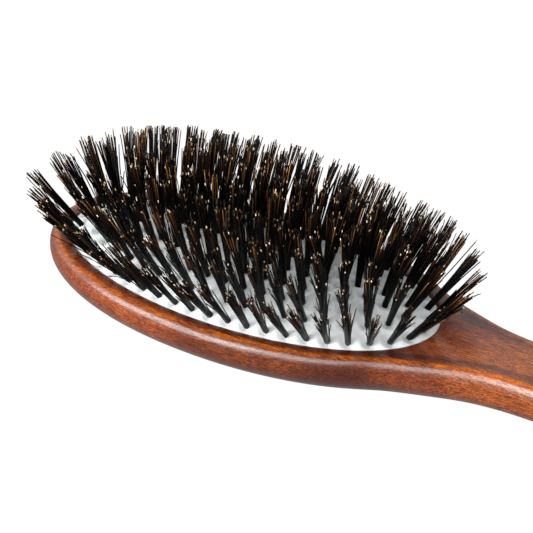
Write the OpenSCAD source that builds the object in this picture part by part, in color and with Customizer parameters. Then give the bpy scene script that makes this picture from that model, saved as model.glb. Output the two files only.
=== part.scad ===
// Oval cushion hairbrush: one-piece wooden back and handle, a domed rubber
// pad tucked under the wooden lip, and bristle tufts set in concentric rings.
// Frame: origin in the middle of the flat back of the head, +X to the handle,
// +Z to the bristles.

/* [Pad] */
// half length of the opening in the wooden rim
pad_a = 57.6; // [54:0.2:61]
// half width of the opening in the wooden rim
pad_b = 28; // [26:0.2:30]
// height of the domed pad from its edge to its crown
dome_h = 6; // [4:0.5:7]
// thickness of the rubber
rubber_t = 1.6; // [1.2:0.1:2]

/* [Wooden body] */
// height of the lip round the pad above the flat back
lip_z = 15; // [14.5:0.5:18]
// half length of the head
head_a = 63.4; // [62.8:0.1:65]
// half width of the head
head_b = 33.8; // [33.2:0.1:35]
// distance from the head centre to the end of the handle
handle_end = 158; // [150:1:170]
// thickness of wood left under the air space
floor_t = 6.2; // [5:0.2:7]

/* [Bristles] */
// visible length of a tuft
tuft_l = 21.5; // [18:0.5:24]
// radius of a tuft where it leaves the rubber
tuft_r = 0.9; // [0.8:0.05:1]
// radius of a tuft at its tips
tip_r = 1.7; // [1.1:0.05:2]
// outward lean of the outermost tufts at the two ends
lean_end = 40; // [30:1:48]
// outward lean of the outermost tufts at the sides
lean_side = 37; // [25:1:42]
// outward lean of the end tufts of the middle row
lean_mid = 13; // [5:1:20]

/* [Hidden] */

wood = [0.48, 0.2, 0.1];
rubber = [0.92, 0.94, 0.95];
bristle = [0.08, 0.06, 0.05];
steel = [0.7, 0.7, 0.72];

// ---- outline of the wooden body -------------------------------------------
spread = pad_a - pad_b;       // half length of the pad's crown line
joint_x = 46;                 // where the oval head hands over to the neck
head_n = 2.06;                // fullness of the oval
rest_z = 0;                   // plane of the flat back
back_crown = 0.8;             // rounding that the flat takes off the back
// [distance along the brush, half width] past the oval
neck_pts = [[50, 21.6], [55, 19.4], [60, 17.6], [65, 15.9], [70, 14.3], [76, 12.9],
  [84, 11.9], [92, 11.6], [100, 11.7], [112, 12.2], [126, 12.8], [138, 12.7]];
end_x = neck_pts[11][0];
end_w = neck_pts[11][1];
oval_steps = 30;
end_steps = 10;

function oval_w(x) = head_b * pow(1 - pow(min(abs(x) / head_a, 1), head_n), 1 / head_n);
oval_pts = [for (i = [0 : oval_steps - 1])
  let (t = i / (oval_steps - 1), x = -head_a + (head_a + joint_x) * (1 - cos(90 * t)))
  [x, oval_w(x)]];
cap_pts = [for (i = [1 : end_steps])
  let (t = 90 * i / end_steps)
  [end_x + (handle_end - end_x) * sin(t), end_w * pow(cos(t), 0.9)]];

// neck stations joined by a smooth curve
function cr(p0, p1, p2, p3, t) = 0.5 * (2 * p1 + (p2 - p0) * t
  + (2 * p0 - 5 * p1 + 4 * p2 - p3) * t * t + (3 * p1 - p0 - 3 * p2 + p3) * t * t * t);
knots = concat([oval_pts[oval_steps - 3], oval_pts[oval_steps - 1]], neck_pts, [cap_pts[2]]);
neck_curve = [for (i = [1 : len(knots) - 3]) for (j = [1 : 2])
  cr(knots[i - 1], knots[i], knots[i + 1], knots[i + 2], j / 2)];
side = concat(oval_pts, neck_curve, cap_pts);
side_n = len(side);
outline = concat(side, [for (i = [side_n - 2 : -1 : 1]) [side[i][0], -side[i][1]]]);
around = len(outline);

// the spine the surface gathers on, pulled in at both ends
head_pull = 29.4;
end_pull = 9;
function sq(v) = v * v;
function spine_x(x) = x
  + (x < joint_x ? head_pull * sq((joint_x - x) / (joint_x + head_a)) : 0)
  - (x > 115 ? end_pull * sq((x - 115) / (handle_end - 115)) : 0);

function ease(a, b, x) = let (t = min(max((x - a) / (b - a), 0), 1)) t * t * (3 - 2 * t);
function top_z(x) = lip_z - 0.3 + 0.9 * ease(50, 88, x) - 2.6 * ease(100, handle_end, x);
function low_z(x) = rest_z - back_crown + 3.4 * ease(46, 88, x) + 0.8 * ease(130, handle_end, x);
function mid_z(x) = lip_z - 4.6 - 0.9 * ease(46, 90, x) - 0.6 * ease(110, handle_end, x);
function low_r(x) = 20 - 11 * ease(42, 88, x);
edge_r = 3;

top_arc = [for (i = [0 : 6]) 15 * i];
low_arc = [for (i = [1 : 8]) 11.25 * i];
edge_n = 2.5;
inner_r = 6;

// one slice over the top edge, down the side and back underneath
function slice(p) =
  let (x = p[0], s = spine_x(x), d = norm([x - s, p[1]]),
       zt = top_z(x), zm = mid_z(x), zb = low_z(x), lr = min(low_r(x), d - 0.6))
  [for (rz = concat(
      [[min(inner_r, d - 0.4), zt]],
      [for (a = [for (k = [6 : -1 : 0]) top_arc[k]])
        [edge_r * (1 - pow(cos(a), 2 / edge_n)), zm + (zt - zm) * pow(sin(a), 2 / edge_n)]],
      [for (a = low_arc) [lr * (1 - cos(a)), zm - (zm - zb) * sin(a)]]))
    let (k = 1 - rz[0] / d) [s + (x - s) * k, p[1] * k, rz[1]]];

slices = [for (p = outline) slice(p)];
rows = len(slices[0]);
spine = [for (z = [0, 1]) for (p = side)
  [spine_x(p[0]), 0, z == 0 ? top_z(p[0]) : low_z(p[0])]];
skin_n = around * rows;
function spine_i(i) = i < side_n ? i : around - i;

module body_blank() {
  polyhedron(points = concat([for (s = slices) for (q = s) q], spine), convexity = 6, faces = concat(
    [for (i = [0 : around - 1]) for (j = [0 : rows - 2]) for (h = [0, 1])
      let (a = i * rows + j, b = ((i + 1) % around) * rows + j)
      h == 0 ? [a, a + 1, b] : [a + 1, b + 1, b]],
    [for (i = [0 : around - 1]) for (h = [0, 1])
      let (n = (i + 1) % around, a = i * rows, b = n * rows,
           c = skin_n + spine_i(i), d = skin_n + spine_i(n))
      h == 0 ? [a, b, c] : [b, d, c]],
    [for (i = [0 : around - 1]) for (h = [0, 1])
      let (n = (i + 1) % around, a = i * rows + rows - 1, b = n * rows + rows - 1,
           c = skin_n + side_n + spine_i(i), d = skin_n + side_n + spine_i(n))
      h == 0 ? [a, c, b] : [b, c, d]]));
}

// ---- pad ------------------------------------------------------------------
edge_drop = 1.1;                       // the pad leaves the wood this far under the lip
groove_d = 1.6;                        // reach of the groove under the lip
play = 0.06;
pad_steps = 72;
pad_rings = 9;
edge_z = lip_z - edge_drop;
crown_z = edge_z + dome_h;

// point of the pad family: s = 1 at the lip, 0 on the crown line
function on_pad(s, t) = [(spread + pad_b * s) * cos(t), pad_b * s * sin(t)];
function pad_z(s) = edge_z + dome_h * (1 - s * s);

module oval_prism(grow, z, h) {
  translate([0, 0, z])
    linear_extrude(height = h)
      polygon([for (i = [0 : pad_steps - 1])
        let (t = 360 * i / pad_steps) [(pad_a + grow) * cos(t), (pad_b + grow) * sin(t)]]);
}

module wooden_body() {
  color(wood)
    difference() {
      body_blank();
      translate([-head_a, -head_b, rest_z - 5])
        cube([2 * head_a, 2 * head_b, 5]);
      oval_prism(0, floor_t, lip_z);
      oval_prism(groove_d + play, edge_z - rubber_t - play, rubber_t + 2 * play);
    }
}

module dome() {
  n = pad_steps;
  top = [for (k = [1 : pad_rings]) for (i = [0 : n - 1])
    let (s = k / pad_rings, q = on_pad(s - (k == pad_rings ? 0.002 : 0), 360 * i / n))
    [q[0], q[1], pad_z(s)]];
  low = [for (v = top) [v[0], v[1], v[2] - rubber_t]];
  m = n * pad_rings;
  crown = 2 * m;
  // the crown is closed by a strip along the crown line
  mids = [for (z = [crown_z, crown_z - rubber_t]) for (i = [0 : n / 2])
    [spread * cos(180 * i / (n / 2)), 0, z]];
  mn = n / 2 + 1;
  function mid_i(i) = i <= n / 2 ? i : n - i;
  polyhedron(points = concat(top, low, mids), convexity = 4, faces = concat(
    [for (k = [0 : pad_rings - 2]) for (i = [0 : n - 1]) for (h = [0, 1])
      let (a = k * n + i, b = k * n + (i + 1) % n, c = a + n, d = b + n)
      h == 0 ? [a, b, c] : [b, d, c]],
    [for (k = [0 : pad_rings - 2]) for (i = [0 : n - 1]) for (h = [0, 1])
      let (a = m + k * n + i, b = m + k * n + (i + 1) % n, c = a + n, d = b + n)
      h == 0 ? [a, c, b] : [b, c, d]],
    [for (i = [0 : n - 1]) for (h = [0, 1])
      let (a = m - n + i, b = m - n + (i + 1) % n, c = a + m, d = b + m)
      h == 0 ? [a, b, c] : [b, d, c]],
    [for (i = [0 : n - 1]) for (h = [0, 1])
      let (a = i, b = (i + 1) % n, c = crown + mid_i(i), d = crown + mid_i(i + 1))
      if (h == 0 || c != d) h == 0 ? [a, c, b] : [b, c, d]],
    [for (i = [0 : n - 1]) for (h = [0, 1])
      let (a = m + i, b = m + (i + 1) % n, c = crown + mn + mid_i(i), d = crown + mn + mid_i(i + 1))
      if (h == 0 || c != d) h == 0 ? [a, b, c] : [b, d, c]]));
}

hole_r = tuft_r + 0.1;
module rubber_cushion() {
  color(rubber)
    difference() {
      union() {
        dome();
        difference() {
          oval_prism(groove_d, edge_z - rubber_t, rubber_t);
          oval_prism(-1.2, edge_z - rubber_t - 1, rubber_t + 2);
        }
      }
      for (k = [0 : 4])
        for (p = ring_pts[k])
          stand(p)
            translate([0, 0, -5])
              cylinder(h = 8, r = hole_r, $fn = 24);
    }
}

// ---- tufts ----------------------------------------------------------------
ring_inset = 2.7;
ring_pitch = 6.1;
ring_count = [46, 39, 32, 26, 11];
function ring_s(k) = k == 4 ? 0 : 1 - (ring_inset + ring_pitch * k) / pad_b;

// equal steps round an oval ring, found from a fine walk along it
fine = 360;
function walk(s) = let (c = [for (i = [0 : fine]) on_pad(s, 360 * i / fine)])
  [for (i = 0, w = 0; i <= fine; w = w + (i < fine ? norm(c[i + 1] - c[i]) : 0), i = i + 1) [w, 360 * i / fine]];
// each tuft: foot, and the direction it leans in as [tilt, heading]
function lean_of(s, t) = let (e = cos(t) * cos(t), o = 1 - ring_inset / pad_b)
  [(lean_side + (lean_end - lean_side) * e) * s / o,
   atan2(sin(t) * (spread + pad_b * s), cos(t) * pad_b * s)];
function ring_of(k) = let (s = ring_s(k), n = ring_count[k])
  k == 4 ? [for (i = [0 : n - 1])
    let (u = 2 * i / (n - 1) - 1)
    [[spread * u, 0, pad_z(0)], [lean_mid * abs(u), u < 0 ? 180 : 0]]]
  : let (w = walk(s), total = w[fine][0])
    [for (i = [0 : n - 1])
      let (t = lookup(total * i / n, w), q = on_pad(s, t))
      [[q[0], q[1], pad_z(s)], lean_of(s, t)]];
ring_pts = [for (k = [0 : 4]) ring_of(k)];

// put the children at a tuft's foot, looking along the tuft
module stand(p) {
  translate(p[0])
    rotate([0, p[1][0], p[1][1]])
      children();
}

root_l = 3.6;
module tufts(k) {
  color(bristle)
    for (p = ring_pts[k])
      stand(p)
        union() {
          translate([0, 0, -root_l])
            cylinder(h = root_l, r = tuft_r, $fn = 24);
          cylinder(h = tuft_l, r1 = tuft_r, r2 = tip_r, $fn = 24);
        }
}

wire_r = 0.3;
module staples(k) {
  color(steel)
    for (p = ring_pts[k])
      stand(p)
        translate([0, 0, -root_l + wire_r])
          rotate_extrude($fn = 24)
            translate([tuft_r + wire_r - 0.01, 0])
              circle(r = wire_r, $fn = 16);
}

wooden_body();
rubber_cushion();
tufts(0);  // tufts_ring_1
tufts(1);  // tufts_ring_2
tufts(2);  // tufts_ring_3
tufts(3);  // tufts_ring_4
tufts(4);  // tufts_ring_5
staples(0);  // staples_ring_1
staples(1);  // staples_ring_2
staples(2);  // staples_ring_3
staples(3);  // staples_ring_4
staples(4);  // staples_ring_5
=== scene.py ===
import math

import bmesh
import bpy
import numpy as np
from mathutils import Matrix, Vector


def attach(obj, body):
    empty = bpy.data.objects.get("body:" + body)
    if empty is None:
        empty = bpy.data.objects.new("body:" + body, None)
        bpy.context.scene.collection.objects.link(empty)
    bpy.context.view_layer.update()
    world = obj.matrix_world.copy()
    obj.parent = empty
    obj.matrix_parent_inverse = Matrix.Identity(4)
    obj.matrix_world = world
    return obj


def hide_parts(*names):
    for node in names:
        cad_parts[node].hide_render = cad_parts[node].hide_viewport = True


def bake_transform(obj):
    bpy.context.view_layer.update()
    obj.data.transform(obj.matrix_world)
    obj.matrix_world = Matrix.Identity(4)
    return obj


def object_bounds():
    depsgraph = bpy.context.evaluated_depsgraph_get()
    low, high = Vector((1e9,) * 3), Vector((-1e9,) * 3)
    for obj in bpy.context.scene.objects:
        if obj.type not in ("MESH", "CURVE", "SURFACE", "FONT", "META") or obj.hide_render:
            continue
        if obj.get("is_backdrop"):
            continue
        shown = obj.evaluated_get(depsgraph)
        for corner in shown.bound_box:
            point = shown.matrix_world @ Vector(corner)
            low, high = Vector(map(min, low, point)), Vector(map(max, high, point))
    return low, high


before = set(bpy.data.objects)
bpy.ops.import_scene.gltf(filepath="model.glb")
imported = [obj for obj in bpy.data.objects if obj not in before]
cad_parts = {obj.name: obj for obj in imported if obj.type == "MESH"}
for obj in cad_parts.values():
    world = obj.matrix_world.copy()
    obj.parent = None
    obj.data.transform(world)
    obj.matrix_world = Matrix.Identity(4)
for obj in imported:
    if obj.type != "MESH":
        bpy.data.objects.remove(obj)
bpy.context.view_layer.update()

# ---------------------------------------------------------------------------
# Camera, room and lamps. The brush is shown from above the near left side with
# a long lens, in a white cove with no floor shadow. Softboxes stand from the
# left round to the right, the strong ones in front, and it is darker overhead.
# ---------------------------------------------------------------------------
scene = bpy.context.scene
scene.view_settings.view_transform = "Standard"
scene.view_settings.look = "None"


def aim_camera(azimuth, elevation, roll, target, distance, lens):
    """Looks at target from the direction that azimuth and elevation give, turned
    by roll about its own axis. Angles are in degrees, and the lens in millimetres."""
    a, e, r = (math.radians(v) for v in (azimuth, elevation, roll))
    back = np.array([math.sin(a) * math.cos(e), -math.cos(a) * math.cos(e), math.sin(e)])
    level = np.array([math.cos(a), math.sin(a), 0.0])
    upright = np.cross(back, level)
    right = math.cos(r) * level + math.sin(r) * upright
    up = -math.sin(r) * level + math.cos(r) * upright
    data = bpy.data.cameras.new("camera")
    data.lens = lens
    data.sensor_width = 36.0
    data.clip_start, data.clip_end = 0.05, 20.0
    cam = bpy.data.objects.new("camera", data)
    scene.collection.objects.link(cam)
    place = Matrix((right, up, back)).transposed().to_4x4()
    place.translation = np.array(target) + back * distance
    cam.matrix_world = place
    scene.camera = cam


aim_camera(azimuth=32.3, elevation=31.8, roll=0.4, target=(0.00265, 0.0037, 0.015),
           distance=0.822, lens=201.7)


def soft_lamp(name, place, target, wide, high, power, colour):
    """A rectangular area lamp at place, turned to target, with its width level."""
    data = bpy.data.lights.new(name, "AREA")
    data.shape, data.size, data.size_y = "RECTANGLE", wide, high
    data.energy, data.color = power, colour
    lamp = bpy.data.objects.new(name, data)
    scene.collection.objects.link(lamp)
    away = np.array(place, float) - np.array(target, float)
    away /= np.linalg.norm(away)
    side = np.cross((0.0, 0.0, 1.0), away)
    side /= np.linalg.norm(side)
    turn = Matrix((side, np.cross(away, side), away)).transposed().to_4x4()
    turn.translation = place
    lamp.matrix_world = turn


head_middle = (0.0, 0.0, 0.01)
warm_white, cool_white = (1.0, 0.99, 0.98), (0.98, 0.99, 1.0)
for name, place, wide, high, power, colour in (
        ("left_softbox", (-0.96, -0.3, 0.42), 0.9, 0.7, 2.0, warm_white),
        ("front_left_softbox", (-0.58, -0.82, 0.4), 0.9, 0.6, 14.0, warm_white),
        ("front_softbox", (0.05, -1.0, 0.58), 0.9, 0.7, 11.0, warm_white),
        ("right_softbox", (0.75, -0.61, 0.7), 0.6, 0.6, 2.0, cool_white)):
    soft_lamp(name, place, head_middle, wide, high, power, colour)

# the room's grey by height: 0 is level and below, 1 is straight up
world = bpy.data.worlds.new("studio")
scene.world = world
world.use_nodes = True
walls = world.node_tree
upward = walls.nodes.new("ShaderNodeSeparateXYZ")
direction = walls.nodes.new("ShaderNodeTexCoord").outputs["Generated"]
walls.links.new(direction, upward.inputs["Vector"])
fade = walls.nodes.new("ShaderNodeValToRGB")
for at, grey in ((0.1, 0.6), (0.62, 0.65), (0.84, 0.3)):
    fade.color_ramp.elements.new(at).color = (grey, grey, grey, 1.0)
fade.color_ramp.elements[0].color = (0.3, 0.3, 0.31, 1.0)
fade.color_ramp.elements[-1].color = (0.35, 0.35, 0.35, 1.0)
walls.links.new(upward.outputs["Z"], fade.inputs["Fac"])
walls.links.new(fade.outputs["Color"], walls.nodes["Background"].inputs["Color"])
walls.nodes["Background"].inputs["Strength"].default_value = 1.0

# the white cove shines into the camera only, so it lights and shades nothing
cove_radius = 4.0
sweep_mesh = bpy.data.meshes.new("white_cove")
ball = bmesh.new()
bmesh.ops.create_icosphere(ball, subdivisions=3, radius=cove_radius)
bmesh.ops.reverse_faces(ball, faces=ball.faces)
ball.to_mesh(sweep_mesh)
ball.free()
sweep = bpy.data.objects.new("white_cove", sweep_mesh)
scene.collection.objects.link(sweep)
sweep_paint = bpy.data.materials.new("white_cove")
sweep_paint.use_nodes = True
paint = sweep_paint.node_tree.nodes["Principled BSDF"]
paint.inputs["Base Color"].default_value = (0.02, 0.02, 0.02, 1.0)
paint.inputs["Roughness"].default_value = 1.0
paint.inputs["Specular IOR Level"].default_value = 0.0
paint.inputs["Emission Color"].default_value = (1.0, 1.0, 1.0, 1.0)
paint.inputs["Emission Strength"].default_value = 1.0
sweep_mesh.materials.append(sweep_paint)
for ray in ("visible_diffuse", "visible_glossy", "visible_transmission", "visible_shadow"):
    setattr(sweep, ray, False)
sweep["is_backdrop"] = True

# ---------------------------------------------------------------------------
# Wooden body: head, neck and handle are turned and carved from one piece of
# close-grained hardwood, stained red-brown and lacquered. The head has an oval
# pocket with a groove under its lip, which holds the rubber pad.
# ---------------------------------------------------------------------------
MM = 0.001
# in millimetres: the pocket's oval, half length and half width, and its lip's height
pad_a, pad_b = 57.6, 28.0
lip_z = 15.0
# the head's oval and its exponent, where the neck takes over, and the handle's end
head_a, head_b, head_n = 63.4, 33.8, 2.06
joint_x, handle_end = 46.0, 158.0
# half widths of the neck and handle at stations along the brush
neck = np.array([[50, 21.6], [55, 19.4], [60, 17.6], [65, 15.9], [70, 14.3], [76, 12.9],
                 [84, 11.9], [92, 11.6], [100, 11.7], [112, 12.2], [126, 12.8], [138, 12.7]])


def ease(a, b, x):
    """Smooth step: 0 before a, 1 after b, t*t*(3-2t) between them."""
    t = np.clip((x - a) / (b - a), 0, 1)
    return t * t * (3 - 2 * t)


def closed_spline(points, count):
    """A periodic cubic spline through the points, by chord length, returned as
    count points at equal steps of arc length."""
    p = np.asarray(points, float)
    n = len(p)
    h = np.linalg.norm(np.roll(p, -1, 0) - p, axis=1)
    slope = (np.roll(p, -1, 0) - p) / h[:, None]
    hp = np.roll(h, 1)
    m = np.zeros((n, n))
    i = np.arange(n)
    m[i, i] = 2 * (h + hp)
    m[i, (i - 1) % n] += h
    m[i, (i + 1) % n] += hp
    d = np.linalg.solve(m, 3 * (h[:, None] * np.roll(slope, 1, 0) + hp[:, None] * slope))
    fine_steps = 40
    u = np.linspace(0, 1, fine_steps + 1)[:-1][None, :, None]
    q, dq = np.roll(p, -1, 0)[:, None], np.roll(d, -1, 0)[:, None]
    hh = h[:, None, None]
    curve = ((2 * u**3 - 3 * u**2 + 1) * p[:, None] + (u**3 - 2 * u**2 + u) * hh * d[:, None]
             + (3 * u**2 - 2 * u**3) * q + (u**3 - u**2) * hh * dq).reshape(-1, 2)
    loop = np.vstack([curve, curve[:1]])
    walk = np.r_[0, np.cumsum(np.linalg.norm(np.diff(loop, axis=0), axis=1))]
    at = np.linspace(0, walk[-1], count + 1)[:-1]
    return np.c_[np.interp(at, walk, loop[:, 0]), np.interp(at, walk, loop[:, 1])]


def body_outline(count):
    """Half an oval for the head, the neck's stations and half an ellipse for the
    handle's end, mirrored and joined by one closed spline."""
    x = -head_a + (head_a + joint_x) * (1 - np.cos(np.radians(90 * np.arange(20) / 19)))
    oval = np.c_[x, head_b * (1 - np.minimum(np.abs(x) / head_a, 1) ** head_n) ** (1 / head_n)]
    t = np.radians(np.array([18, 36, 54, 72, 90.0]))
    cap_x, cap_half = neck[-1]
    cap = np.c_[cap_x + (handle_end - cap_x) * np.sin(t), cap_half * np.maximum(np.cos(t), 0) ** 0.9]
    cap[-1, 1] = 0
    half = np.vstack([oval, neck, cap])
    return closed_spline(np.vstack([half, half[-2:0:-1] * [1, -1]]), count)


def spine_at(x):
    """Where the skin gathers on the middle line: pulled in from the head's tip
    and from the handle's end, by the square of the distance from where the pull starts."""
    tip_pull, end_pull, end_from = 29.4, 9, 115
    return (x + tip_pull * np.where(x < joint_x, (joint_x - x) / (joint_x + head_a), 0) ** 2
            - end_pull * np.where(x > end_from, (x - end_from) / (handle_end - end_from), 0) ** 2)


def top_height(x):
    """Height of the top face along the brush: level on the head, 0.9 mm higher
    on the neck, then falling by 2.6 mm to the handle's end."""
    return lip_z - 0.3 + 0.9 * ease(50, 88, x) - 2.6 * ease(100, handle_end, x)


def top_crown(x, y, half_width):
    """The handle is slightly crowned across: nothing on the head, 0.5 mm on the
    handle, and fading out at its rounded end."""
    crown = 0.5 * ease(72, 112, x) * ease(0, 9, half_width)
    return crown * (1 - np.clip(y / half_width, -1, 1) ** 2) ** 2


around = 720
edge = body_outline(around)
spine = np.c_[spine_at(edge[:, 0]), np.zeros(around)]
reach = np.linalg.norm(edge - spine, axis=1)
# heights of the top face, the widest line and the underside, and the two roundings
rim_r, rim_power = 3.0, 0.9
zt = top_height(spine[:, 0] + (edge[:, 0] - spine[:, 0]) * (1 - rim_r / reach))
zm = lip_z - 4.6 - 0.9 * ease(46, 90, edge[:, 0]) - 0.6 * ease(110, handle_end, edge[:, 0])
zb = -0.8 + 3.4 * ease(46, 88, edge[:, 0]) + 0.8 * ease(130, handle_end, edge[:, 0])
low_r = np.minimum(20 - 11 * ease(42, 88, edge[:, 0]), reach - 0.6)

# skin rows, each an inset from the outline and a height: the rounded top edge,
# the side and the lower rounding, then the underside in to the middle line
top_t = np.radians(np.linspace(90, 0, 19))
low_t = np.radians(np.linspace(0, 90, 31))[1:]
inward = np.linspace(0, 1, 9)[1:, None]
inset = np.vstack([np.outer(rim_r * (1 - np.cos(top_t) ** rim_power), np.ones(around)),
                   (1 - np.cos(low_t))[:, None] * low_r,
                   low_r + (reach - low_r) * inward])
height = np.vstack([zm + (zt - zm) * np.sin(top_t)[:, None] ** rim_power,
                    zm - (zm - zb) * np.sin(low_t)[:, None],
                    np.broadcast_to(zb, (len(inward), around))])
# the back is rubbed flat: heights under zero come up to it, with a soft corner
height = 0.5 * (height + np.sqrt(height**2 + 0.02))
share = (1 - inset / reach)[..., None]
skin = np.dstack([spine + (edge - spine) * share, height])

# top of the head: from the pocket's lip out to the skin's first row and to a seam across the neck
first = skin[0]
seam_x, across = 62.0, 61
turn_i = int(np.argmin(np.abs(edge[: around // 2, 0] - seam_x)))
seam = first[turn_i] + (first[around - turn_i] - first[turn_i]) * np.linspace(0, 1, across)[:, None]
seam[:, 2] = top_height(seam[:, 0])
rim_out = np.vstack([first[around - turn_i:], first[: turn_i + 1], seam[1:-1]])
lip_angle = np.arctan2(rim_out[:, 1] / pad_b, rim_out[:, 0] / pad_a)
lip_round = 0.55
lip_t = np.radians(np.linspace(0, 90, 7))


def lip_oval(grow):
    """The pocket's oval, grown outwards by grow, at the angles of the rim's outer points."""
    return np.c_[(pad_a + grow) * np.cos(lip_angle), (pad_b + grow) * np.sin(lip_angle)]


# pocket floor, pocket wall, then the groove's lower face, bottom and upper face
floor_z, groove_low, groove_high, groove_deep = 6.2, 12.24, 13.96, 1.66
rows = []
for z, grow in ((floor_z, -20.0), (floor_z, -8.0), (floor_z, 0.0), (groove_low, 0.0),
                (groove_low, groove_deep), (groove_high, groove_deep), (groove_high, 0.0)):
    rows.append(np.c_[lip_oval(grow), np.full(len(lip_angle), z)])
wall_rows = len(rows)
lip = lip_oval(0)
gap = np.linalg.norm(rim_out[:, :2] - lip, axis=1)
out_dir = (rim_out[:, :2] - lip) / gap[:, None]
for t in lip_t:
    flat = lip + out_dir * (lip_round * (1 - np.cos(t)))
    rows.append(np.c_[flat, top_height(flat[:, 0]) - lip_round * (1 - np.sin(t))])
for k in np.linspace(0, 1, 15)[1:]:
    flat = lip + out_dir * (lip_round + (gap - lip_round) * k)[:, None]
    rows.append(np.c_[flat, top_height(flat[:, 0])])
rim = np.array(rows)
# the top face dips towards the lip, and the dip fades out towards the outer row
dip, dip_reach = 0.32, 1.9
from_lip = np.linalg.norm(rim[wall_rows:, :, :2] - lip, axis=2)
fade_out = 1 - ease(0, 1, np.linspace(0, 1, len(rim) - wall_rows))[:, None]
rim[wall_rows:, :, 2] -= dip * np.exp(-from_lip / dip_reach) * fade_out

# top of the neck and handle: straight across from side to side
left_i = np.arange(turn_i, around // 2 + 1)
a_side, b_side = first[left_i], first[(around - left_i) % around]
grid_t = np.linspace(0, 1, across)[:, None, None]
deck = a_side + (b_side - a_side) * grid_t
deck_half = np.maximum(np.abs(a_side[:, 1]), 1e-3)
deck[..., 2] = top_height(deck[..., 0]) + top_crown(deck[..., 0], deck[..., 1], deck_half)


def grid_faces(n, m, wrap, start=0):
    """Quads of an n by m grid of points numbered row by row, closed along the row when wrap is set."""
    j = np.arange(m if wrap else m - 1)
    a = (np.arange(n - 1)[:, None] * m + j).ravel() + start
    b = (np.arange(n - 1)[:, None] * m + (j + 1) % m).ravel() + start
    return np.c_[a, b, b + m, a + m]


def new_piece(name, verts_mm, faces, merge=1e-7):
    """A mesh object from points in millimetres. Doubles are merged, flat
    leftovers are dropped and normals are turned outwards."""
    mesh = bpy.data.meshes.new(name)
    mesh.from_pydata((np.asarray(verts_mm) * MM).tolist(), [], faces.tolist())
    b = bmesh.new()
    b.from_mesh(mesh)
    bmesh.ops.remove_doubles(b, verts=b.verts, dist=merge)
    bmesh.ops.dissolve_degenerate(b, edges=b.edges, dist=1e-8)
    bmesh.ops.recalc_face_normals(b, faces=b.faces)
    b.to_mesh(mesh)
    b.free()
    mesh.polygons.foreach_set("use_smooth", np.ones(len(mesh.polygons), bool))
    obj = bpy.data.objects.new(name, mesh)
    scene.collection.objects.link(obj)
    return obj


parts, faces, start = [], [], 0
for block, wrap in ((skin, True), (rim, True), (deck, False)):
    parts.append(block.reshape(-1, 3))
    faces.append(grid_faces(block.shape[0], block.shape[1], wrap, start))
    start += block.shape[0] * block.shape[1]
wooden = new_piece("lacquered_wood", np.vstack(parts), np.vstack(faces), 2e-6)

# one face closes the middle of the pocket's floor
b = bmesh.new()
b.from_mesh(wooden.data)
holes = [e for e in b.edges if e.is_boundary]
bmesh.ops.holes_fill(b, edges=holes, sides=0)
bmesh.ops.recalc_face_normals(b, faces=b.faces)
b.to_mesh(wooden.data)
b.free()
wooden.data.polygons.foreach_set("use_smooth", np.ones(len(wooden.data.polygons), bool))

# a painted highlight along the top of the rounded edge, and a darker band just
# inside that edge that is painted shade on the head's rim, as values on the mesh
co = np.empty(len(wooden.data.vertices) * 3, np.float32)
wooden.data.vertices.foreach_get("co", co)
co = co.reshape(-1, 3).astype(float) / MM
near = np.zeros(len(co))
crest_share = 0.25
crest = first[:, :2] + (edge - first[:, :2]) * crest_share
batch = 4000
for k in range(0, len(co), batch):
    c = co[k:k + batch]
    near[k:k + batch] = np.sqrt(((c[:, None, :2] - crest[None]) ** 2).sum(-1)).min(1)
highlight_wide, highlight_drop = 0.7, 0.6
shade_in, shade_wide = 2.7, 1.5
below_top = np.clip(top_height(co[:, 0]) - co[:, 2] - 0.5, 0, None)
width_here = np.interp(co[:, 0], edge[: around // 2, 0], np.abs(crest[: around // 2, 1]))
inside = (np.abs(co[:, 1]) < width_here) & (below_top < 0.1)
crest_highlight = np.exp(-(near / highlight_wide) ** 2) * np.exp(-below_top**2 / highlight_drop)
# darker band just inside the edge: painted shade on the head's rim where the tufts shade it, a little weaker
# there, and a darker band along the neck, fading out on the handle
dark_band_and_shade = (np.where(inside, np.exp(-((near - shade_in) / shade_wide) ** 2), 0)
          * (0.75 + 0.25 * ease(28, 60, co[:, 0])) * (1 - ease(95, 118, co[:, 0])))
for name, value in (("painted_crest_highlight", crest_highlight), ("dark_band_and_shade", dark_band_and_shade)):
    wooden.data.attributes.new(name, "FLOAT", "POINT").data.foreach_set("value", value.astype(np.float32))


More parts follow.
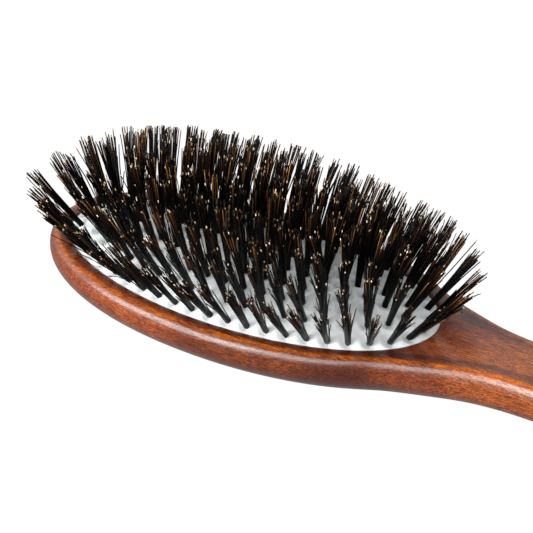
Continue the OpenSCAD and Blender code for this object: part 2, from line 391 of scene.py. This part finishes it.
class Shader:
    """A short way to lay out a material's or a group's nodes."""

    def __init__(self, tree):
        self.tree, self.x = tree, 0

    def node(self, kind, values=None, links=None, **settings):
        n = self.tree.nodes.new(kind)
        n.location = (self.x, 0)
        self.x += 180
        for k, v in settings.items():
            setattr(n, k, v)
        for k, v in (values or {}).items():
            n.inputs[k].default_value = v
        for k, v in (links or {}).items():
            self.tree.links.new(v, n.inputs[k])
        return n

    def ramp(self, fac, stops, ease_kind="LINEAR"):
        n = self.node("ShaderNodeValToRGB", links={"Fac": fac})
        n.color_ramp.interpolation = ease_kind
        while len(n.color_ramp.elements) < len(stops):
            n.color_ramp.elements.new(0.5)
        for e, (at, c) in zip(n.color_ramp.elements, stops):
            e.position = at
            e.color = (*c, 1.0) if isinstance(c, tuple) else (c, c, c, 1.0)
        return n.outputs["Color"]

    def mix(self, fac, a, b, how="MIX"):
        n = self.node("ShaderNodeMix", data_type="RGBA", blend_type=how)
        for sock, v in ((n.inputs[0], fac), (n.inputs[6], a), (n.inputs[7], b)):
            if isinstance(v, bpy.types.NodeSocket):
                self.tree.links.new(v, sock)
            elif isinstance(v, tuple):
                sock.default_value = (*v, 1.0)
            else:
                sock.default_value = v
        return n.outputs[2]

    def maths(self, op, a, b=0.0):
        n = self.node("ShaderNodeMath", operation=op)
        for sock, v in ((n.inputs[0], a), (n.inputs[1], b)):
            if isinstance(v, bpy.types.NodeSocket):
                self.tree.links.new(v, sock)
            else:
                sock.default_value = v
        return n.outputs[0]

    def noise(self, vector, scale, stretch, detail=2.0, rough=0.5, distortion=0.0, shift=(0, 0, 0)):
        m = self.node("ShaderNodeMapping", links={"Vector": vector})
        m.inputs["Scale"].default_value = stretch
        m.inputs["Location"].default_value = shift
        n = self.node("ShaderNodeTexNoise", {"Scale": scale, "Detail": detail, "Roughness": rough,
                                             "Distortion": distortion}, {"Vector": m.outputs["Vector"]})
        return n.outputs["Fac"]


def new_material(name):
    """An empty node material with its output and its Principled shader."""
    m = bpy.data.materials.new(name)
    m.use_nodes = True
    m.node_tree.nodes.clear()
    s = Shader(m.node_tree)
    out = s.node("ShaderNodeOutputMaterial")
    bsdf = s.node("ShaderNodeBsdfPrincipled")
    m.node_tree.links.new(bsdf.outputs["BSDF"], out.inputs["Surface"])
    return m, s, bsdf


wood, s, bsdf = new_material("lacquered_hardwood")
place = s.node("ShaderNodeTexCoord").outputs["Object"]
# scales are in features per metre, long along the handle and short across it
figure = s.noise(place, 1.0, (18, 80, 80), 4.0, 0.6, 0.6, (3.1, 0.4, 0.2))
ribbon = s.noise(place, 1.0, (60, 30, 30), 3.0, 0.55, 0.8, (0.3, 7.7, 1.0))
fibre = s.noise(place, 1.0, (260, 2500, 2500), 3.0, 0.65)
fine = s.noise(place, 1.0, (1300, 5200, 5200), 2.0, 0.6, 0.0, (5.0, 1.0, 2.0))
pore = s.noise(place, 1.0, (420, 3900, 3900), 1.5, 0.5, 0.0, (1.0, 9.0, 4.0))
# the stain: dark to light with the figure, orange where the ribbon is strong
ground = s.ramp(figure, [(0.3, (0.05, 0.0075, 0.0035)), (0.5, (0.125, 0.0235, 0.0065)),
                         (0.7, (0.22, 0.05, 0.01))])
ribbon_mask = s.maths("MULTIPLY", s.ramp(ribbon, [(0.36, 0.0), (0.68, 1.0)]), 0.5)
ground = s.mix(ribbon_mask, ground, (0.27, 0.07, 0.008))
# darker and lighter stretches of the wood from the head's tip to the handle's end; the pale bluish lift on the
# neck is partly a painted highlight
lengthwise = s.node("ShaderNodeSeparateXYZ", links={"Vector": place}).outputs["X"]
patch = s.node("ShaderNodeMapRange", {"From Min": -0.07, "From Max": 0.16},
               {"Value": lengthwise}).outputs["Result"]
band = s.ramp(patch, [(0.0, (1.0, 0.95, 0.95)), (0.22, (1.15, 1.1, 1.1)), (0.38, (0.85, 0.8, 0.8)),
                      (0.49, (0.52, 0.43, 0.46)), (0.6, (1.45, 1.55, 1.7)), (0.8, (1.1, 1.1, 1.1)),
                      (1.0, (0.9, 0.88, 0.88))], "EASE")
ground = s.mix(1.0, ground, band, "MULTIPLY")
# the band inside the edge, made darker and purple: painted shade on the head's rim
band_and_shade = s.node("ShaderNodeAttribute", attribute_name="dark_band_and_shade").outputs["Fac"]
darker = s.mix(1.0, ground, (0.28, 0.3, 0.8), "MULTIPLY")
ground = s.mix(s.maths("MULTIPLY", band_and_shade, 0.75), ground, darker)
# painted highlight along the crest: a paler orange band, broken up by noise
highlight_mask = s.node("ShaderNodeAttribute", attribute_name="painted_crest_highlight").outputs["Fac"]
uneven = s.ramp(s.noise(place, 1.0, (110, 500, 500), 3.0, 0.6), [(0.3, 0.25), (0.6, 1.0)])
broken_highlight = s.maths("MULTIPLY", highlight_mask, uneven)
ground = s.mix(s.maths("MULTIPLY", broken_highlight, 0.8), ground, (0.42, 0.1, 0.003))
# fibres, finer fibres and open pores
fibre_tint = s.ramp(fibre, [(0.33, (0.32, 0.26, 0.24)), (0.64, (1.6, 1.6, 1.55))])
ground = s.mix(0.9, ground, fibre_tint, "MULTIPLY")
fine_tint = s.ramp(fine, [(0.34, (0.42, 0.36, 0.34)), (0.62, (1.5, 1.5, 1.45))])
ground = s.mix(0.9, ground, fine_tint, "MULTIPLY")
pores = s.ramp(pore, [(0.56, 0.0), (0.68, 1.0)])
ground = s.mix(s.maths("MULTIPLY", pores, 0.6), ground, (0.022, 0.006, 0.005))
s.tree.links.new(ground, bsdf.inputs["Base Color"])
rough = s.node("ShaderNodeMath", {1: 0.14, 2: 0.3}, operation="MULTIPLY_ADD")
s.tree.links.new(fibre, rough.inputs[0])
s.tree.links.new(rough.outputs[0], bsdf.inputs["Roughness"])
relief = s.mix(0.5, fibre, s.maths("SUBTRACT", 1.0, pores))
bump = s.node("ShaderNodeBump", {"Strength": 0.35, "Distance": 0.00013}, {"Height": relief})
s.tree.links.new(bump.outputs["Normal"], bsdf.inputs["Normal"])
s.tree.links.new(bump.outputs["Normal"], bsdf.inputs["Coat Normal"])
bsdf.inputs["Specular IOR Level"].default_value = 0.1
bsdf.inputs["Coat Weight"].default_value = 1.0
bsdf.inputs["Coat Roughness"].default_value = 0.2
bsdf.inputs["Coat IOR"].default_value = 1.56
wooden.data.materials.append(wood)
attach(wooden, "brush")
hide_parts("wooden_body")

# ---------------------------------------------------------------------------
# Rubber pad: one moulded domed sheet of white rubber over an air space. Its
# edge is a flange that is pressed into the groove under the wooden lip, and
# the tufts pull it into small dimples.
# ---------------------------------------------------------------------------
# in millimetres: the dome, the rubber's thickness, and the straight crown line's half length
dome_h, rubber_t = 6.0, 1.6
edge_z = lip_z - 1.1
crown_half = pad_a - pad_b
# rings of tufts from the edge inwards, and their lean in degrees: at the ends of
# the oval, at its sides, and at the ends of the middle row
ring_inset, ring_pitch = 2.7, 6.1
ring_count = (46, 39, 32, 26, 11)
lean_end, lean_side, lean_mid = 40.0, 37.0, 13.0


def on_pad(share, turn):
    """Plan position on the pad: share 1 is the lip's oval, and 0 is the straight
    crown line in the middle."""
    return np.stack([(crown_half + pad_b * share) * np.cos(turn), pad_b * share * np.sin(turn)], -1)


def pad_height(share):
    """The dome: highest on the crown line, falling with the square of the share."""
    return edge_z + dome_h * (1 - share**2)


def ring_feet(k):
    """Feet of ring k's tufts at equal steps round its oval, and each tuft's
    direction: leaning outwards, square to the oval. The last ring is a straight row."""
    n = ring_count[k]
    if k == len(ring_count) - 1:
        u = 2 * np.arange(n) / (n - 1) - 1
        foot = np.c_[crown_half * u, np.zeros(n), np.full(n, pad_height(0))]
        tilt, head = np.radians(lean_mid * np.abs(u)), np.where(u < 0, math.pi, 0.0)
    else:
        share = 1 - (ring_inset + ring_pitch * k) / pad_b
        turn = np.linspace(0, 2 * math.pi, 2881)
        walk = np.r_[0, np.cumsum(np.linalg.norm(np.diff(on_pad(share, turn), axis=0), axis=1))]
        t = np.interp(walk[-1] * np.arange(n) / n, walk, turn)
        foot = np.c_[on_pad(share, t), np.full(n, pad_height(share))]
        outer = lean_side + (lean_end - lean_side) * np.cos(t) ** 2
        tilt = np.radians(outer * share / (1 - ring_inset / pad_b))
        head = np.arctan2(np.sin(t) * (crown_half + pad_b * share), np.cos(t) * pad_b * share)
    return foot, np.c_[np.sin(tilt) * np.cos(head), np.sin(tilt) * np.sin(head), np.cos(tilt)]


feet = [ring_feet(k) for k in range(len(ring_count))]
all_feet = np.vstack([f for f, _ in feet])

pad_cols, pad_rows = 560, 96
turn = np.linspace(0, 2 * math.pi, pad_cols, endpoint=False)
share = np.linspace(0, 1, pad_rows) ** 0.9
plan = on_pad(share[:, None], turn[None])
dome = np.dstack([plan, np.broadcast_to(pad_height(share)[:, None], plan.shape[:2])])
flat_dome = dome.reshape(-1, 3)

# round each foot a dimple, and round that a low swell: bell curves of the distance
dimple_wide, dimple_deep = 1.4, 1.0
swell_at, swell_wide, swell_high = 2.9, 0.9, 0.2
pull = np.zeros(len(flat_dome))
swell = np.zeros(len(flat_dome))
batch = 22
for k in range(0, len(all_feet), batch):
    d = np.sqrt(((flat_dome[:, None, :2] - all_feet[None, k:k + batch, :2]) ** 2).sum(-1))
    pull += np.exp(-(d / dimple_wide) ** 2).sum(1)
    swell += np.exp(-((d - swell_at) / swell_wide) ** 2).sum(1)
flat_dome[:, 2] += swell_high * swell - dimple_deep * pull

# the flange's rows, each a growth beyond the oval and a height, then the hollow underside
flange_low = 12.3
flange = [np.c_[on_pad(1.0, turn) * (1 + g / np.array([pad_a, pad_b])), np.full(pad_cols, z)]
          for g, z in ((0.5, 13.85), (1.3, 13.9), (1.55, 13.6), (1.55, 12.6),
                       (1.3, flange_low), (0.0, flange_low))]
under_share = np.linspace(1, 0, 12)
under = np.dstack([on_pad(under_share[:, None], turn[None]),
                   np.broadcast_to(pad_height(under_share)[:, None] - rubber_t,
                                   (len(under_share), pad_cols))])
under[0, :, 2] = flange_low
sheet = np.vstack([dome, np.array(flange), under[1:]])
pad = new_piece("rubber_pad", sheet.reshape(-1, 3), grid_faces(sheet.shape[0], pad_cols, True), 2e-6)

# faint unevenness of rubber, bristle and wire: a value round 0.5 that changes softly
mottle = bpy.data.node_groups.new("soft_mottle", "ShaderNodeTree")
mottle.interface.new_socket("Vector", in_out="INPUT", socket_type="NodeSocketVector")
mottle.interface.new_socket("Size", in_out="INPUT", socket_type="NodeSocketFloat")
mottle.interface.new_socket("Value", in_out="OUTPUT", socket_type="NodeSocketFloat")
g = Shader(mottle)
g_in, g_out = g.node("NodeGroupInput"), g.node("NodeGroupOutput")
g_noise = g.node("ShaderNodeTexNoise", {"Detail": 4.0, "Roughness": 0.55},
                 {"Vector": g_in.outputs["Vector"], "Scale": g_in.outputs["Size"]})
mottle.links.new(g_noise.outputs["Fac"], g_out.inputs["Value"])


def add_mottle(s, vector, size):
    """The mottle group in a material, at a size in features per metre."""
    n = s.node("ShaderNodeGroup", node_tree=mottle)
    n.inputs["Size"].default_value = size
    s.tree.links.new(vector, n.inputs["Vector"])
    return n.outputs["Value"]


rubber, s, bsdf = new_material("white_rubber")
place = s.node("ShaderNodeTexCoord").outputs["Object"]
cloud = add_mottle(s, place, 220.0)
dust = s.noise(place, 900.0, (1, 1, 1), 3.0, 0.6)
tint = s.ramp(cloud, [(0.35, (0.82, 0.87, 0.87)), (0.65, (0.88, 0.92, 0.92))])
specks = s.maths("MULTIPLY", s.ramp(dust, [(0.6, 0.0), (0.78, 1.0)]), 0.25)
tint = s.mix(specks, tint, (0.5, 0.52, 0.52))
s.tree.links.new(tint, bsdf.inputs["Base Color"])
rough = s.node("ShaderNodeMath", {1: 0.2, 2: 0.34}, operation="MULTIPLY_ADD")
s.tree.links.new(cloud, rough.inputs[0])
s.tree.links.new(rough.outputs[0], bsdf.inputs["Roughness"])
bump = s.node("ShaderNodeBump", {"Strength": 0.12, "Distance": 0.0001}, {"Height": dust})
s.tree.links.new(bump.outputs["Normal"], bsdf.inputs["Normal"])
bsdf.inputs["Subsurface Weight"].default_value = 0.12
bsdf.inputs["Subsurface Radius"].default_value = (0.002, 0.002, 0.002)
bsdf.inputs["Subsurface Scale"].default_value = 0.6
pad.data.materials.append(rubber)
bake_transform(pad)
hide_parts("rubber_cushion")

# ---------------------------------------------------------------------------
# Tufts: dark natural bristle, about thirty hairs in each, folded in half and
# drawn through the rubber. The hairs are of uneven length and taper to the tip,
# some are brown towards the tip, and many cut ends are pale, partly as painted glints.
# ---------------------------------------------------------------------------
tuft_l = 21.5
ring_bodies = ("outer_ring", "second_ring", "third_ring", "fourth_ring", "middle_ring")

hair_mat, s, bsdf = new_material("natural_bristle")
tone = s.node("ShaderNodeAttribute", attribute_name="tone").outputs["Fac"]
along = s.node("ShaderNodeAttribute", attribute_name="along").outputs["Fac"]
place = s.node("ShaderNodeTexCoord").outputs["Object"]
# colours by each hair's tone: near the rubber, towards the tip, and on the cut end, whose palest shades are
# painted glints
shaft = s.ramp(tone, [(0.0, (0.0008, 0.0008, 0.001)), (0.84, (0.0012, 0.001, 0.001)),
                      (0.92, (0.008, 0.0035, 0.002)), (0.98, (0.04, 0.016, 0.006)), (1.0, (0.2, 0.1, 0.035))])
upper = s.ramp(tone, [(0.0, (0.0008, 0.0008, 0.001)), (0.55, (0.002, 0.0015, 0.0014)),
                      (0.72, (0.016, 0.0065, 0.003)), (0.85, (0.09, 0.034, 0.01)), (1.0, (0.4, 0.19, 0.06))])
shuffled_tone = s.maths("FRACT", s.maths("MULTIPLY", tone, 7.3))
cut_end_and_glint = s.ramp(shuffled_tone, [(0.0, (0.002, 0.002, 0.002)), (0.66, (0.01, 0.006, 0.004)),
                             (0.82, (0.22, 0.12, 0.05)), (0.93, (0.6, 0.42, 0.25)), (1.0, (0.85, 0.78, 0.68))])
patchy = s.ramp(add_mottle(s, place, 500.0), [(0.3, 0.7), (0.6, 1.0)])
towards_tip = s.maths("MULTIPLY", s.ramp(along, [(0.55, 0.0), (0.92, 1.0)], "EASE"), patchy)
hair = s.mix(towards_tip, shaft, upper)
on_end = s.ramp(along, [(0.968, 0.0), (0.978, 1.0)])
s.tree.links.new(s.mix(on_end, hair, cut_end_and_glint), bsdf.inputs["Base Color"])
s.tree.links.new(s.ramp(along, [(0.0, 0.3), (0.9, 0.34), (1.0, 0.5)]), bsdf.inputs["Roughness"])
bsdf.inputs["Specular IOR Level"].default_value = 0.12

# each hair is a five-sided tube with points at these shares of its length
sides = 5
steps = np.array([0.0, 0.33, 0.66, 0.94, 1.0])
taper = np.array([1.0, 1.0, 0.96, 0.85, 0.78])


def make_tufts(name, k, seed):
    """Every hair is a tapered tube along a gently bent line. Roots pack a small
    disc in a sunflower spiral, and tips spread over a wider disc. Millimetres."""
    rng = np.random.default_rng(seed)
    foot, lean = feet[k]
    count = rng.integers(26, 33, len(foot))
    own = np.repeat(np.arange(len(foot)), count)
    total = len(own)
    within = np.concatenate([np.arange(c) for c in count])
    # each tuft's own small errors of setting
    d = lean[own] + (rng.normal(0, 0.032, (len(foot), 3)))[own]
    d /= np.linalg.norm(d, axis=1)[:, None]
    e1 = np.cross(d, [0.0, 0.0, 1.0]) + np.array([1e-6, 0, 0])
    e1 = np.where(np.linalg.norm(e1, axis=1)[:, None] < 1e-3, [1.0, 0.0, 0.0], e1)
    e1 /= np.linalg.norm(e1, axis=1)[:, None]
    e2 = np.cross(d, e1)
    golden_turn = 2.39996
    spin = rng.uniform(0, 2 * math.pi, len(foot))[own] + within * golden_turn
    rad = np.sqrt((within + 0.5) / count[own])
    root_r, tip_r = 0.72, 1.8
    root = rad * root_r
    flare = rng.uniform(0.85, 1.25, len(foot))[own]
    tip = rad * tip_r * flare * rng.uniform(0.7, 1.2, total)
    stray = rng.random(total) < 0.05
    tip = np.where(stray, tip + rng.uniform(0.8, 2.4, total), tip)
    tip_spin = spin + rng.normal(0, 0.25, total)
    # the trim is a little short at the head's tip, and on the far side a little long
    # on the tip's half and a little short on the handle's half
    fx, far = foot[:, 0], ease(0, 12, foot[:, 1])
    trim = (1 - 0.08 * ease(-43, -55, fx) + 0.06 * far * ease(-52, -42, fx) * (1 - ease(-12, 5, fx))
            - 0.03 * far * ease(5, 20, fx))
    tuft_len = (trim * rng.normal(1.0, 0.028, len(foot)))[own]
    # most hairs reach the trim, and the rest are shorter
    longest = 1.05
    uneven = np.where(rng.random(total) < 0.62, rng.uniform(0.9, longest, total),
                      rng.uniform(0.52, 0.95, total))
    length = np.minimum(tuft_l * tuft_len * uneven, tuft_l * longest)
    bend_dir = rng.uniform(0, 2 * math.pi, total)
    bend = rng.normal(0, 0.35, total) + np.where(stray, rng.normal(0, 1.4, total), 0)
    v = steps[None, :, None]
    start_r = (np.cos(spin) * root)[:, None] * e1 + (np.sin(spin) * root)[:, None] * e2
    end_r = (np.cos(tip_spin) * tip)[:, None] * e1 + (np.sin(tip_spin) * tip)[:, None] * e2
    arc = (np.cos(bend_dir) * bend)[:, None] * e1 + (np.sin(bend_dir) * bend)[:, None] * e2
    # the line starts under the rubber, spreads late, and bows most in the middle
    sink = 2.2
    base = foot[own] - d * sink
    line = (base[:, None] + d[:, None] * (v * (length + sink)[:, None, None])
            + start_r[:, None] + (end_r - start_r)[:, None] * v**2.2
            + arc[:, None] * (v * (1 - v) * 4 * 0.5 + v**2 * 0.6))
    widest, tallest = 40.4, 42.4
    line[..., 1] = np.clip(line[..., 1], -widest, widest)
    line[..., 2] = np.minimum(line[..., 2], tallest)
    thick = rng.uniform(0.135, 0.19, total)[:, None] * taper
    circle = np.arange(sides) * 2 * math.pi / sides
    ringv = (np.cos(circle)[None, None, :, None] * e1[:, None, None]
             + np.sin(circle)[None, None, :, None] * e2[:, None, None])
    tube = line[:, :, None] + ringv * thick[:, :, None, None]
    end_bulge = 0.05
    caps = np.stack([line[:, 0], line[:, -1] + d * end_bulge], 1)
    block = np.concatenate([tube.reshape(total, -1, 3), caps], 1)
    per = block.shape[1]

    # faces of one hair: quads along the tube and a fan on each end, then the same for all
    n = len(steps)
    i, j = np.meshgrid(np.arange(n - 1), np.arange(sides), indexing="ij")
    a, b2 = (i * sides + j).ravel(), (i * sides + (j + 1) % sides).ravel()
    quads = np.c_[a, b2, b2 + sides, a + sides]
    j = np.arange(sides)
    low_fan = np.c_[(j + 1) % sides, j, np.full(sides, n * sides)]
    last = (n - 1) * sides
    top_fan = np.c_[last + j, last + (j + 1) % sides, np.full(sides, n * sides + 1)]
    offs = np.arange(total)[:, None, None] * per
    loops = np.concatenate([(quads[None] + offs).reshape(total, -1), (low_fan[None] + offs).reshape(total, -1),
                            (top_fan[None] + offs).reshape(total, -1)], 1).ravel()
    sizes = np.tile(np.r_[np.full(len(quads), 4), np.full(2 * sides, 3)], total)
    mesh = bpy.data.meshes.new(name)
    mesh.vertices.add(total * per)
    mesh.vertices.foreach_set("co", (block.reshape(-1) * MM).astype(np.float32))
    mesh.loops.add(len(loops))
    mesh.loops.foreach_set("vertex_index", loops.astype(np.int32))
    mesh.polygons.add(len(sizes))
    mesh.polygons.foreach_set("loop_start", np.r_[0, np.cumsum(sizes)[:-1]].astype(np.int32))
    rounded = np.r_[np.ones(len(quads), bool), np.zeros(2 * sides, bool)]
    mesh.polygons.foreach_set("use_smooth", np.tile(rounded, total))
    mesh.update(calc_edges=True)
    tones = np.repeat(np.clip(rng.beta(1.3, 1.5, total), 0, 1), per)
    shares = np.tile(np.r_[np.repeat(steps, sides), 0.0, 1.0], total)
    for attribute, value in (("tone", tones), ("along", shares)):
        layer = mesh.attributes.new(attribute, "FLOAT", "POINT")
        layer.data.foreach_set("value", value.astype(np.float32))
    mesh.materials.append(hair_mat)
    obj = bpy.data.objects.new(name, mesh)
    scene.collection.objects.link(obj)
    return obj


for k, (body, seed) in enumerate(zip(ring_bodies, (11, 12, 13, 14, 15))):
    tufts = make_tufts(f"bristle_ring_{k + 1}", k, seed)
    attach(tufts, body)
    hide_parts(f"tufts_ring_{k + 1}")

# ---------------------------------------------------------------------------
# Staples: the wire that holds the fold of each tuft against the back of the
# rubber. They are out of sight under the pad, so the solids stay as they are,
# with a drawn-wire finish.
# ---------------------------------------------------------------------------
wire, s, bsdf = new_material("drawn_wire")
place = s.node("ShaderNodeTexCoord").outputs["Object"]
dull = add_mottle(s, place, 900.0)
steel = s.ramp(dull, [(0.35, (0.42, 0.42, 0.43)), (0.65, (0.62, 0.62, 0.64))])
s.tree.links.new(steel, bsdf.inputs["Base Color"])
s.tree.links.new(s.ramp(dull, [(0.35, 0.28), (0.65, 0.42)]), bsdf.inputs["Roughness"])
bsdf.inputs["Metallic"].default_value = 1.0
for k in range(len(ring_count)):
    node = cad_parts[f"staples_ring_{k + 1}"]
    node.data.materials.clear()
    node.data.materials.append(wire)

low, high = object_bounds()
